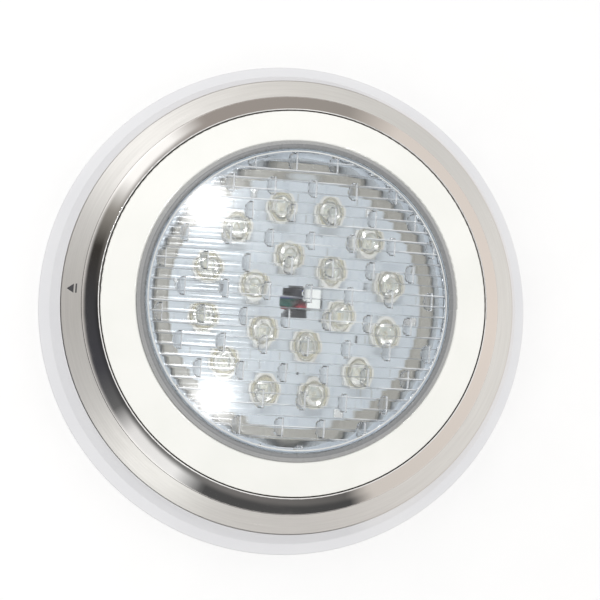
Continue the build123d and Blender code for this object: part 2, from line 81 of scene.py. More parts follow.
class Wire:
    """One output socket of a node tree, with the arithmetic that the finishes use."""

    def __init__(self, kit: "NodeKit", socket: bpy.types.NodeSocket) -> None:
        """Wraps a socket.

        Args:
            socket: The output socket.
        """
        self.kit = kit
        self.socket = socket

    def _math(self, operation: str, *values: Any) -> "Wire":
        """Adds one Math node.

        Args:
            operation: The Math node's operation.
            values: Its inputs in order, wires or numbers.

        Returns:
            The node's value.
        """
        return self.kit.make("ShaderNodeMath", {"operation": operation}, dict(enumerate(values)))

    def __add__(self, other: Any) -> "Wire":
        """Sum."""
        return self._math("ADD", self, other)

    __radd__ = __add__

    def __sub__(self, other: Any) -> "Wire":
        """Difference."""
        return self._math("SUBTRACT", self, other)

    def __rsub__(self, other: Any) -> "Wire":
        """Reflected difference, such as 1 - mask."""
        return self._math("SUBTRACT", other, self)

    def __mul__(self, other: Any) -> "Wire":
        """Product."""
        return self._math("MULTIPLY", self, other)

    __rmul__ = __mul__

    def __truediv__(self, other: Any) -> "Wire":
        """Quotient."""
        return self._math("DIVIDE", self, other)

    def __pow__(self, other: Any) -> "Wire":
        """Power."""
        return self._math("POWER", self, other)

    def size(self) -> "Wire":
        """Absolute value."""
        return self._math("ABSOLUTE", self)

    def over(self, limit: Any) -> "Wire":
        """One where the value is greater than the limit, and zero elsewhere."""
        return self._math("GREATER_THAN", self, limit)

    def most(self, other: Any) -> "Wire":
        """The greater of two values."""
        return self._math("MAXIMUM", self, other)

    def wave(self) -> "Wire":
        """Sine."""
        return self._math("SINE", self)

    def share(self) -> "Wire":
        """Fractional part."""
        return self._math("FRACT", self)

    def ramp(self, low: float, high: float, start: float = 0.0, end: float = 1.0) -> "Wire":
        """Smooth step from one level to another.

        Args:
            low: Value at which the step begins.
            high: Value at which it ends.
            start: Level before the step.
            end: Level after it.

        Returns:
            The stepped value.
        """
        settings = {"interpolation_type": "SMOOTHSTEP"}
        return self.kit.make("ShaderNodeMapRange", settings, {0: self, 1: low, 2: high, 3: start, 4: end})


class NodeKit:
    """Adds nodes to one tree and joins them."""

    def __init__(self, tree: bpy.types.NodeTree) -> None:
        """Keeps the tree, emptied."""
        self.tree = tree
        tree.nodes.clear()

    def make(self, kind: str, settings: dict[str, Any], inputs: dict[Union[int, str], Any],
             output: Union[int, str] = 0) -> Wire:
        """Adds a node of any type.

        Args:
            kind: The node's type.
            settings: Properties set first, with "stops" for a ramp's colour stops.
            inputs: Values or wires for its sockets, by index or name.
            output: The output socket to return.

        Returns:
            The chosen output.
        """
        node = self.tree.nodes.new(kind)
        for key, value in settings.items():
            if key == "stops":
                self._set_stops(node, value)
            else:
                setattr(node, key, value)
        for key, value in inputs.items():
            self._feed(node.inputs[key], value)
        return Wire(self, node.outputs[output]) if len(node.outputs) else Wire(self, None)

    def _set_stops(self, node: bpy.types.Node, stops: Sequence[tuple[float, Colour]]) -> None:
        """Gives a colour ramp its stops."""
        elements = node.color_ramp.elements
        while len(elements) < len(stops):
            elements.new(0.5)
        for element, (position, colour) in zip(elements, stops):
            element.position = position
            element.color = (*colour, 1.0)

    def _feed(self, socket: bpy.types.NodeSocket, value: Any) -> None:
        """Links a wire to a socket, or sets the socket's own value."""
        if isinstance(value, Wire):
            self.tree.links.new(value.socket, socket)
        elif isinstance(value, tuple) and socket.type == "RGBA":
            socket.default_value = (*value, 1.0)
        else:
            socket.default_value = value

    def place(self) -> Wire:
        """Object coordinates, in metres."""
        return self.make("ShaderNodeTexCoord", {}, {}, "Object")

    def parts(self, vector: Wire) -> tuple[Wire, Wire, Wire]:
        """The three components of a vector."""
        node = self.tree.nodes.new("ShaderNodeSeparateXYZ")
        self.tree.links.new(vector.socket, node.inputs[0])
        return tuple(Wire(self, node.outputs[i]) for i in range(3))

    def join(self, x: Any, y: Any, z: Any) -> Wire:
        """A vector from three components."""
        return self.make("ShaderNodeCombineXYZ", {}, {0: x, 1: y, 2: z})

    def noise(self, vector: Wire, scale: float, detail: float = 3.0, rough: float = 0.5) -> Wire:
        """Noise from 0 to 1.

        Args:
            vector: Where it is read.
            scale: Cells per metre.
            detail: Octaves.
            rough: How strong the finer octaves are.

        Returns:
            The noise value.
        """
        inputs = {"Vector": vector, "Scale": scale, "Detail": detail, "Roughness": rough}
        return self.make("ShaderNodeTexNoise", {}, inputs)

    def blend(self, share: Any, first: Any, second: Any) -> Wire:
        """Mixes two colours.

        Args:
            share: How much of the second.
            first: First colour, a wire or a tuple.
            second: Second colour.

        Returns:
            The mixed colour.
        """
        return self.make("ShaderNodeMix", {"data_type": "RGBA"}, {0: share, 6: first, 7: second}, 2)

    def bump(self, height: Wire, depth: float, strength: float = 1.0) -> Wire:
        """A normal bent by a height.

        Args:
            height: Height from 0 to 1.
            depth: Real height of 1, in metres.
            strength: Share of the effect.

        Returns:
            The bent normal.
        """
        inputs = {"Strength": strength, "Distance": depth, "Height": height}
        return self.make("ShaderNodeBump", {}, inputs)

    def radial(self, vector: Wire) -> tuple[Wire, Wire, Wire]:
        """Radius from the optical axis, and the unit direction (x, y) round it."""
        x, y, _ = self.parts(vector)
        radius = (x * x + y * y) ** 0.5
        return radius, x / radius, y / radius


# ---------------------------------------------------------------- finishes

@dataclass(frozen=True)
class Finish:
    """What every finish has: a name, and a way to paint itself on a node tree."""

    name: str

    def build(self) -> bpy.types.Material:
        """Makes the Blender material.

        Returns:
            The material, painted.
        """
        material = bpy.data.materials.new(self.name)
        material.use_nodes = True
        kit = NodeKit(material.node_tree)
        surface = self.paint(kit)
        kit.make("ShaderNodeOutputMaterial", {}, {0: surface})
        return material

    def paint(self, kit: NodeKit) -> Wire:
        """Adds the finish's nodes.


        Returns:
            The surface shader.
        """
        raise NotImplementedError

    def shader(self, kit: NodeKit, **sockets: Any) -> Wire:
        """A Principled shader with these sockets set."""
        named = {key.replace("_", " ").title().replace("Ior", "IOR"): v for key, v in sockets.items()}
        return kit.make("ShaderNodeBsdfPrincipled", {}, named)


@dataclass(frozen=True)
class Moulded(Finish):
    """Moulded plastic or rubber: slight colour drift, uneven gloss and a fine skin texture."""

    colour: Colour
    drift: Colour
    gloss: tuple[float, float] = (0.22, 0.34)
    grain: float = 2600.0
    depth: float = 0.00002
    sheen_coat: float = 0.0

    def tone(self, kit: NodeKit, place: Wire, base: Wire) -> Wire:
        """The colour that shows, which is the moulding's own unless a finish adds to it."""
        return base

    def paint(self, kit: NodeKit) -> Wire:
        """Colour from slow noise, gloss from middling noise, skin from fine noise."""
        place = kit.place()
        slow = kit.noise(place, 26.0, 3.0).ramp(0.32, 0.68)
        middling = kit.noise(place, 240.0, 4.0, 0.6)
        fine = kit.noise(place, self.grain, 2.0)
        specks = kit.noise(place, 5200.0, 1.0).ramp(0.70, 0.86, 0.0, 0.5)
        tone = kit.blend(slow, self.colour, self.drift)
        tone = kit.blend(specks * 0.25, tone, tuple(0.8 * c for c in self.colour))
        tone = self.tone(kit, place, tone)
        return self.shader(
            kit, base_color=tone, roughness=middling.ramp(0.3, 0.7, *self.gloss),
            normal=kit.bump(fine, self.depth, 0.6), coat_weight=self.sheen_coat, coat_roughness=0.08)


@dataclass(frozen=True)
class RimSkin(Moulded):
    """Silicone rim of the cover: its flat lip is darker than its outer slope, with a thin dark line on the
    slope.
    """

    lip: Colour = (0.21, 0.215, 0.22)
    lip_height: float = 0.0561

    def tone(self, kit: NodeKit, place: Wire, base: Wire) -> Wire:
        """Darkens the lip above a height, and draws a thin dark line on the slope."""
        _, _, z = kit.parts(place)
        line = (z - self.lip_height + 0.0008).size().ramp(0.0, 0.00012, 1.0, 0.0)
        toned = kit.blend(z.ramp(self.lip_height - 0.0001, self.lip_height + 0.0001), base, self.lip)
        return kit.blend(line * 0.5, toned, self.lip)


@dataclass(frozen=True)
class Metal(Finish):
    """Plain metal with drawn lines along one axis and a few dull stains."""

    colour: Colour
    stain: Colour
    gloss: tuple[float, float] = (0.18, 0.34)
    stretch: Point = (300.0, 4000.0, 4000.0)
    depth: float = 0.00001

    def paint(self, kit: NodeKit) -> Wire:
        """Drawn lines from stretched noise, stains from slow noise."""
        place = kit.place()
        x, y, z = kit.parts(place)
        along = kit.join(x * self.stretch[0], y * self.stretch[1], z * self.stretch[2])
        lines = kit.noise(along, 1.0, 2.0)
        stains = kit.noise(place, 60.0, 5.0, 0.6).ramp(0.45, 0.75)
        tone = kit.blend(stains * 0.6, self.colour, self.stain)
        return self.shader(
            kit, base_color=tone, metallic=1.0,
            roughness=(lines * 0.6 + stains * 0.4).ramp(0.2, 0.8, *self.gloss),
            normal=kit.bump(lines, self.depth, 0.5))


@dataclass(frozen=True)
class TrimSteel(Finish):
    """Stainless sheet of the trim ring: a brushed flange, a polished bevel with painted shade along its
    crest, and a printed arrow.
    """

    brushed: Colour = (0.68, 0.675, 0.66)
    polished: Colour = (0.80, 0.79, 0.78)
    ink: Colour = (0.05, 0.05, 0.055)
    # painted shade: the dark colour of the line along the bevel's crest
    crest_painted_shade: Colour = (0.13, 0.12, 0.11)
    bevel_foot: float = 0.1199
    seam: float = 0.1096
    bevel_bow: float = 9.0
    arrow_tip: float = 0.1290
    arrow_length: float = 0.0042

    def arrow(self, kit: NodeKit, place: Wire) -> Wire:
        """A solid triangle at the top of the flange, pointing outwards, over a short bar.

        Args:
            place: Object coordinates.

        Returns:
            One inside the mark, zero outside.
        """
        x, y, z = kit.parts(place)
        below = self.arrow_tip - y
        inside = (below * 0.62 - x.size()).over(0.0) * below.over(0.0)
        inside = inside * (self.arrow_length - below).over(0.0)
        bar_from = self.arrow_length + 0.0010
        bar = (0.0026 - x.size()).over(0.0) * (below - bar_from).over(0.0)
        bar = bar * (bar_from + 0.0009 - below).over(0.0)
        return inside.most(bar) * z.over(0.0245)

    def paint(self, kit: NodeKit) -> Wire:
        """Brushing runs round the ring, and stops where the bevel is polished."""
        place = kit.place()
        radius, ux, uy = kit.radial(place)
        _, _, z = kit.parts(place)
        round_lines = kit.join(radius * 2600.0 + z * 1700.0, ux * 3.0, uy * 3.0)
        lines = kit.noise(round_lines, 1.0, 4.0, 0.7)
        broad = kit.noise(kit.join(radius * 300.0, ux * 5.0, uy * 5.0), 1.0, 2.0)
        smudges = kit.noise(place, 45.0, 4.0, 0.6).ramp(0.45, 0.8)
        mirror = radius.ramp(self.bevel_foot - 0.0002, self.bevel_foot + 0.0003, 1.0, 0.0)
        tone = kit.blend(lines.ramp(0.3, 0.7) * 0.5, self.brushed, tuple(0.86 * c for c in self.brushed))
        tone = kit.blend(mirror, tone, self.polished)
        # Painted shade: a dark line along the bevel's crest, in place of the dark reflection of its
        # rounded edge.
        seam = radius.ramp(self.seam, self.seam + 0.00015, 1.0, 0.0)
        edge = radius.ramp(self.seam + 0.0004, self.seam + 0.0007, 1.0, 0.0)
        tone = kit.blend(seam, tone, self.crest_painted_shade)
        mark = self.arrow(kit, place)
        tone = kit.blend(mark, tone, self.ink)
        dull = (lines * 0.5 + broad * 0.5).ramp(0.25, 0.75, 0.26, 0.36)
        shine = smudges.ramp(0.0, 1.0, 0.035, 0.075)
        rough = dull * (1.0 - mirror) + shine * mirror
        across = radius - 0.5 * (self.bevel_foot + self.seam)
        bow = across * across * (0.5 * self.bevel_bow)
        return self.shader(
            kit, base_color=tone, metallic=1.0 - mark, roughness=rough.most(mark * 0.5).most(edge * 0.5),
            normal=kit.bump(lines * (1.0 - mirror) * 0.0000072 + bow * mirror, 1.0))


@dataclass(frozen=True)
class ClearPlastic(Finish):
    """Clear plastic: it bends light for the eye and lets the studio light straight in."""

    tint: Colour = (0.965, 0.985, 1.0)
    haze: tuple[float, float] = (0.12, 0.17)
    ior: float = 1.49
    shade_tint: Colour = (0.95, 0.97, 0.99)

    def surface(self, kit: NodeKit, place: Wire, glass: Wire) -> Wire:
        """What the eye sees, which is the clear plastic itself unless a finish paints shade and highlights
        on it.
        """
        return glass

    def paint(self, kit: NodeKit) -> Wire:
        """Moulding flow marks in the tint, faint waviness in the surface."""
        place = kit.place()
        flow = kit.noise(place, 18.0, 2.0)
        waves = kit.noise(place, 90.0, 2.0)
        tone = kit.blend(flow.ramp(0.35, 0.65), self.tint, tuple(0.985 * c for c in self.tint))
        glass = self.shader(
            kit, base_color=tone, roughness=kit.noise(place, 300.0, 3.0).ramp(0.4, 0.8, *self.haze),
            transmission_weight=1.0, ior=self.ior, normal=kit.bump(waves, 0.00003, 0.4))
        seen = self.surface(kit, place, glass)
        clear = kit.make("ShaderNodeBsdfTransparent", {}, {0: self.shade_tint})
        shadow = kit.make("ShaderNodeLightPath", {}, {}, "Is Shadow Ray")
        bounce = kit.make("ShaderNodeLightPath", {}, {}, "Is Diffuse Ray")
        return kit.make("ShaderNodeMixShader", {}, {0: shadow.most(bounce), 1: seen, 2: clear})


@dataclass(frozen=True)
class ClearCover(ClearPlastic):
    """Clear plastic of the cover, with painted shade and painted highlight lines along its flutes, and
    painted shade and highlights in its bosses.
    """

    # Painted shade and painted highlight colours laid over the clear plastic.
    painted_shade_line: Colour = (0.29, 0.31, 0.33)
    painted_highlight_line: Colour = (0.95, 0.97, 0.98)
    streak_reach: float = 0.0816
    boss_shade: float = 0.34

    def within_reach(self, kit: NodeKit, place: Wire) -> Wire:
        """One inside the edge of the fluted back, zero outside."""
        radius, _, _ = kit.radial(place)
        return radius.ramp(self.streak_reach, self.streak_reach + 0.0005, 1.0, 0.0)

    def bosses(self, kit: NodeKit, place: Wire) -> tuple[Wire, Wire]:
        """Painted shade in the round part of each half-round boss, and a painted highlight line along its
        flat.

        Args:
            place: Object coordinates.

        Returns:
            How much painted shade and how much painted highlight shows.
        """
        x, y, _ = kit.parts(place)
        rows = (x - RELIEF.first[0]) / RELIEF.row_pitch + 0.5
        share = rows.share()
        across = ((share - 0.5) * (RELIEF.row_pitch / RELIEF.half_width)).size()
        odd = ((rows - share) * 0.5).share()
        along = ((y - RELIEF.first[1]) / RELIEF.boss_pitch - odd).share() * RELIEF.boss_pitch
        reach = (1.0 - across * across * across).most(0.0) ** 0.5 * RELIEF.length
        within = (reach - along).ramp(0.0, 0.0002) * (1.0 - across).over(0.0)
        within = within * self.within_reach(kit, place)
        # Painted shade over the boss's round part, and a painted highlight along its flat.
        dark = within * along.ramp(0.0008, RELIEF.length, 0.04, self.boss_shade)
        bright = within * along.ramp(0.0003, 0.0007, 0.55, 0.0)
        return dark, bright

    def streaks(self, kit: NodeKit, place: Wire) -> tuple[Wire, Wire]:
        """Painted shade and painted highlight streaks that come and go along the cusps between the flutes.

        Args:
            place: Object coordinates.

        Returns:
            How much painted shade and how much painted highlight shows.
        """
        x, y, _ = kit.parts(place)
        radius, _, _ = kit.radial(place)
        inside = self.within_reach(kit, place)
        flutes = (x - RELIEF.first[0]) / RELIEF.flute_pitch + 0.5
        share = flutes.share()
        row = flutes - share
        rim = radius.ramp(0.045, 0.075, 0.0, 0.35)
        runs = kit.noise(kit.join(row * 7.3, y * 26.0, 0.0), 1.0, 2.0)
        other = kit.noise(kit.join(row * 5.1 + 9.0, y * 22.0, 4.0), 1.0, 2.0)
        cusp = (share - 0.5).size().ramp(0.455, 0.485)
        beside = (share - 0.09).size().ramp(0.022, 0.045, 1.0, 0.0)
        # Painted shade along the cusps, and painted highlights beside them.
        dark = cusp * (runs + rim * 0.5).ramp(0.42, 0.62, 0.10, 0.75) * inside
        bright = beside * (other + rim * 0.3).ramp(0.48, 0.66, 0.0, 0.75) * inside
        return dark, bright

    def surface(self, kit: NodeKit, place: Wire, glass: Wire) -> Wire:
        """Lays the painted shade and highlights of the flutes and the bosses over the clear plastic.

        Args:
            place: Object coordinates.
            glass: The clear plastic.

        Returns:
            The plastic with painted shade and highlights.
        """
        dark, bright = self.streaks(kit, place)
        boss_painted_shade, boss_painted_highlight = self.bosses(kit, place)
        dark, bright = dark.most(boss_painted_shade), bright.most(boss_painted_highlight)
        # A diffuse surface in the painted shade and highlight colours, mixed over the clear plastic.
        mark = self.shader(kit, base_color=kit.blend(bright, self.painted_shade_line, self.painted_highlight_line),
                           roughness=0.3)
        return kit.make("ShaderNodeMixShader", {}, {0: dark.most(bright), 1: glass, 2: mark})


@dataclass(frozen=True)
class BoardMask(Finish):
    """White solder mask of the round board: traces, pads round the screws, vias and flux haze."""

    mask: Colour = (0.66, 0.69, 0.71)
    copper_under: Colour = (0.54, 0.58, 0.62)
    via: Colour = (0.42, 0.42, 0.38)
    rim_tone: Colour = (0.48, 0.45, 0.38)

    def paint(self, kit: NodeKit) -> Wire:
        """Broad copper areas show faintly through the mask, with bare gaps between them."""
        place = kit.place()
        x, y, _ = kit.parts(place)
        radius, ux, uy = kit.radial(place)
        flat = kit.join(x, y, 0.0)
        cells = {"feature": "DISTANCE_TO_EDGE", "voronoi_dimensions": "2D"}
        pours = kit.make("ShaderNodeTexVoronoi", cells, {"Vector": flat, "Scale": 46.0}, "Distance")
        gap = pours.ramp(0.012, 0.035, 1.0, 0.0)
        ring = ((radius - 0.040).size()).ramp(0.0003, 0.0006, 1.0, 0.0)
        rim = radius.ramp(0.0712, 0.0722, 0.0, 1.0)
        dots = kit.make("ShaderNodeTexVoronoi", {"voronoi_dimensions": "2D"},
                        {"Vector": flat, "Scale": 210.0, "Randomness": 0.7}, "Distance")
        vias = dots.ramp(0.07, 0.13, 1.0, 0.0) * kit.noise(flat, 60.0, 1.0).over(0.55)
        haze = kit.noise(place, 40.0, 4.0, 0.6).ramp(0.4, 0.7)
        tone = kit.blend(haze * 0.5, self.mask, tuple(0.94 * c for c in self.mask))
        tone = kit.blend(gap.most(ring) * 0.55, tone, self.copper_under)
        tone = kit.blend(vias * 0.8, tone, self.via)
        tone = kit.blend(rim * 0.6, tone, self.rim_tone)
        return self.shader(
            kit, base_color=tone, roughness=haze.ramp(0.0, 1.0, 0.28, 0.42),
            normal=kit.bump(gap.most(ring), 0.00004, 0.7), coat_weight=0.3, coat_roughness=0.12)


@dataclass(frozen=True)
class Emitter(Finish):
    """LED package: white body with a yellow phosphor field on top."""

    body: Colour = (0.85, 0.85, 0.82)
    phosphor: Colour = (0.71, 0.68, 0.56)
    phosphor_grain: Colour = (0.64, 0.59, 0.45)
    top: float = 0.03835

    def paint(self, kit: NodeKit) -> Wire:
        """Yellow above the package's rim, grainy."""
        place = kit.place()
        _, _, z = kit.parts(place)
        grain = kit.noise(place, 3800.0, 2.0)
        field = z.ramp(self.top, self.top + 0.0001)
        tone = kit.blend(field, self.body, kit.blend(grain, self.phosphor, self.phosphor_grain))
        return self.shader(kit, base_color=tone, roughness=grain.ramp(0.2, 0.8, 0.25, 0.5),
                           normal=kit.bump(grain, 0.00001, 0.4))


@dataclass(frozen=True)
class CircuitGreen(Finish):
    """Green driver board: dark traces under the mask, tinned pads."""

    mask: Colour = (0.02, 0.16, 0.07)
    trace: Colour = (0.03, 0.24, 0.10)
    tin: Colour = (0.62, 0.62, 0.60)

    def paint(self, kit: NodeKit) -> Wire:
        """Square-cornered traces from a folded grid, pads from dots."""
        place = kit.place()
        x, y, _ = kit.parts(place)
        flat = kit.join(x, y, 0.0)
        drift = kit.noise(flat, 70.0, 1.0)
        rows = ((x * 420.0 + drift * 3.0).share() - 0.5).size().ramp(0.30, 0.36)
        columns = ((y * 300.0 + drift * 4.0).share() - 0.5).size().ramp(0.34, 0.40)
        dots = kit.make("ShaderNodeTexVoronoi", {"voronoi_dimensions": "2D"},
                        {"Vector": flat, "Scale": 300.0, "Randomness": 0.5}, "Distance")
        pads = dots.ramp(0.12, 0.18, 1.0, 0.0) * kit.noise(flat, 120.0, 1.0).over(0.56)
        tone = kit.blend(rows.most(columns), self.mask, self.trace)
        tone = kit.blend(pads, tone, self.tin)
        return self.shader(
            kit, base_color=tone, metallic=pads * 0.9, roughness=drift.ramp(0.3, 0.7, 0.22, 0.4),
            normal=kit.bump(rows.most(columns), 0.00004, 0.6), coat_weight=0.5)


@dataclass(frozen=True)
class LeadSkin(Finish):
    """Insulation of a thin stranded lead: faint strand ripple and scuffs."""

    colour: Colour

    def paint(self, kit: NodeKit) -> Wire:
        """Ripple from fine waves along Y, scuffs from noise."""
        place = kit.place()
        _, y, _ = kit.parts(place)
        ripple = (y * 5200.0).wave() * 0.5 + 0.5
        scuffs = kit.noise(place, 900.0, 3.0).ramp(0.5, 0.8)
        tone = kit.blend(scuffs * 0.4, self.colour, tuple(min(1.0, c + 0.12) for c in self.colour))
        return self.shader(kit, base_color=tone, roughness=scuffs.ramp(0.0, 1.0, 0.28, 0.46),
                           normal=kit.bump(ripple, 0.00002, 0.4))


class Paintbox:
    """Builds each finish once, and dresses objects in it."""

    FINISHES: dict[str, Finish] = {
        "white_abs": Moulded("white_abs", (0.75, 0.755, 0.775), (0.73, 0.735, 0.76), (0.10, 0.18),
                             sheen_coat=0.25),
        "face_white": Moulded("face_white", (0.885, 0.885, 0.85), (0.85, 0.855, 0.815), (0.10, 0.16),
                              sheen_coat=0.5, depth=0.000008),
        "shell_abs": Moulded("shell_abs", (0.70, 0.74, 0.78), (0.66, 0.70, 0.74), (0.20, 0.32)),
        "stainless_trim": TrimSteel("stainless_trim"),
        "stainless_plain": Metal("stainless_plain", (0.70, 0.69, 0.67), (0.58, 0.56, 0.53)),
        "clear_pc": ClearCover("clear_pc"),
        "optic_clear": ClearPlastic("optic_clear", (1.0, 0.99, 0.955), (0.0, 0.05),
                                    shade_tint=(0.97, 0.96, 0.92)),
        "grey_silicone": RimSkin("grey_silicone", (0.35, 0.355, 0.355), (0.31, 0.315, 0.32), (0.22, 0.34),
                                 sheen_coat=0.2),
        "black_rubber": Moulded("black_rubber", (0.03, 0.03, 0.032), (0.045, 0.045, 0.045), (0.5, 0.7)),
        "pcb_white": BoardMask("pcb_white"),
        "pcb_green": CircuitGreen("pcb_green"),
        "aluminium_plate": Metal("aluminium_plate", (0.78, 0.78, 0.77), (0.66, 0.66, 0.66), (0.3, 0.5)),
        "beige_plastic": Moulded("beige_plastic", (0.43, 0.40, 0.345), (0.38, 0.35, 0.30), (0.25, 0.4)),
        "optic_holder": Moulded("optic_holder", (0.74, 0.715, 0.66), (0.64, 0.61, 0.55), (0.18, 0.3)),
        "led_yellow": Emitter("led_yellow"),
        "chip_black": Moulded("chip_black", (0.025, 0.025, 0.027), (0.04, 0.04, 0.04), (0.3, 0.5)),
        "can_aluminium": Metal("can_aluminium", (0.72, 0.73, 0.75), (0.6, 0.6, 0.62), (0.2, 0.36)),
        "terminal_green": Moulded("terminal_green", (0.05, 0.32, 0.14), (0.04, 0.27, 0.12), (0.3, 0.45)),
        "connector_white": Moulded("connector_white", (0.88, 0.87, 0.82), (0.84, 0.83, 0.78), (0.3, 0.42)),
        "lead_red_pvc": LeadSkin("lead_red_pvc", (0.50, 0.02, 0.045)),
        "lead_green_pvc": LeadSkin("lead_green_pvc", (0.02, 0.20, 0.15)),
        "lead_blue_pvc": LeadSkin("lead_blue_pvc", (0.03, 0.045, 0.33)),
        "lead_black_pvc": LeadSkin("lead_black_pvc", (0.03, 0.03, 0.035)),
        "black_nylon": Moulded("black_nylon", (0.035, 0.035, 0.037), (0.05, 0.05, 0.05), (0.38, 0.55)),
        "brass": Metal("brass", (0.80, 0.60, 0.28), (0.62, 0.44, 0.20), (0.2, 0.35)),
        # Painted highlight: opaque white for the bead along the cover's edge.
        "bead_painted_highlight": Moulded("bead_painted_highlight", (0.74, 0.75, 0.74), (0.66, 0.67, 0.66), (0.15, 0.3)),
        "solder_tin": Metal("solder_tin", (0.75, 0.75, 0.74), (0.62, 0.62, 0.62), (0.2, 0.4)),
    }
    NODE_FINISH: dict[str, str] = {"face_ring": "face_white", "optic_holders": "optic_holder"}

    def __init__(self) -> None:
        """Starts with no material built."""
        self.built: dict[str, bpy.types.Material] = {}

    def material(self, key: str) -> bpy.types.Material:
        """The material of a finish, built at first use."""
        if key not in self.built:
            self.built[key] = self.FINISHES[key].build()
        return self.built[key]

    def dress(self, piece: bpy.types.Object, key: str) -> None:
        """Gives a piece one finish all over."""
        piece.data.materials.clear()
        piece.data.materials.append(self.material(key))

    def dress_cad(self) -> None:
        """Gives each CAD node the finish of the record's slot that it carries."""
        for name, node in sorted(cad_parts.items()):
            slot = node.data.materials[0].name.split(".")[0]
            key = self.NODE_FINISH.get(name, slot)
            for index in range(len(node.data.materials)):
                node.data.materials[index] = self.material(key)
            LOG.info("CAD node %s takes %s", name, key)


# ---------------------------------------------------------------- modelling

class Bench:
    """The modelling steps that several pieces share."""

    @staticmethod
    def clear_selection() -> None:
        """Leaves edit mode and deselects every object."""
        if bpy.context.mode != "OBJECT":
            bpy.ops.object.mode_set(mode="OBJECT")
        bpy.ops.object.select_all(action="DESELECT")

    @staticmethod
    def take(name: str) -> bpy.types.Object:
        """Names the object just added.

        Args:
            name: The piece's name.

        Returns:
            The active object.
        """
        piece = bpy.context.active_object
        piece.name = name
        piece.data.name = name
        return piece

    @classmethod
    def lathe(cls, name: str, profile: Sequence[tuple[float, float]], steps: int) -> bpy.types.Object:
        """Turns a profile round an upright axis.

        Args:
            name: The piece's name.
            profile: Radius and height of each point, in metres.
            steps: How many steps make a full turn.

        Returns:
            The turned piece, in object mode, with its poles merged.
        """
        cls.clear_selection()
        bpy.ops.mesh.primitive_plane_add(size=MM, location=(0, 0, 0))
        piece = cls.take(name)
        bpy.ops.object.mode_set(mode="EDIT")
        bpy.ops.mesh.merge(type="CENTER")
        radius, height = profile[0]
        bpy.ops.transform.translate(value=(radius, 0, height))
        for (r0, z0), (r1, z1) in zip(profile, profile[1:]):
            step = {"value": (r1 - r0, 0, z1 - z0)}
            bpy.ops.mesh.extrude_region_move(TRANSFORM_OT_translate=step)
        bpy.ops.mesh.select_all(action="SELECT")
        bpy.ops.mesh.spin(steps=steps, angle=math.tau, center=(0, 0, 0), axis=(0, 0, 1))
        bpy.ops.mesh.select_all(action="SELECT")
        bpy.ops.mesh.remove_doubles(threshold=0.000002)
        bpy.ops.mesh.normals_make_consistent(inside=False)
        bpy.ops.object.mode_set(mode="OBJECT")
        return piece

    @classmethod
    def smooth(cls, piece: bpy.types.Object, angle: float) -> None:
        """Smooth shading, broken where faces meet at more than an angle.

        Args:
            piece: The piece.
            angle: The angle, in degrees.
        """
        cls.clear_selection()
        piece.select_set(True)
        bpy.context.view_layer.objects.active = piece
        bpy.ops.object.shade_smooth_by_angle(angle=math.radians(angle))

    @classmethod
    def join(cls, name: str, pieces: Sequence[bpy.types.Object]) -> bpy.types.Object:
        """Joins pieces into one object.

        Args:
            name: The joined object's name.
            pieces: The pieces.

        Returns:
            The joined object.
        """
        cls.clear_selection()
        for piece in pieces:
            piece.select_set(True)
        bpy.context.view_layer.objects.active = pieces[0]
        bpy.ops.object.join()
        return cls.take(name)

    @classmethod
    def settle(cls, piece: bpy.types.Object) -> None:
        """Puts a piece's place, turn and scale into its mesh."""
        cls.clear_selection()
        piece.select_set(True)
        bpy.context.view_layer.objects.active = piece
        bpy.ops.object.transform_apply(location=True, rotation=True, scale=True)

    @classmethod
    def copy(cls, piece: bpy.types.Object, name: str) -> bpy.types.Object:
        """A copy with its own mesh."""
        twin = piece.copy()
        twin.data = piece.data.copy()
        twin.name = name
        bpy.context.scene.collection.objects.link(twin)
        return twin


def seat(piece: bpy.types.Object, body: Body, replaced: Sequence[str] = ()) -> None:
    """Attaches a finished piece to the empty of its body, and hides the CAD nodes that it replaces.

    Args:
        piece: The piece, in place.
        body: The body that it rides on.
        replaced: The CAD nodes that it stands for.
    """
    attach(piece, body.value)
    if replaced:
        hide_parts(*replaced)
    LOG.info("piece %s: %d faces, rides on %s", piece.name, len(piece.data.polygons), body.value)


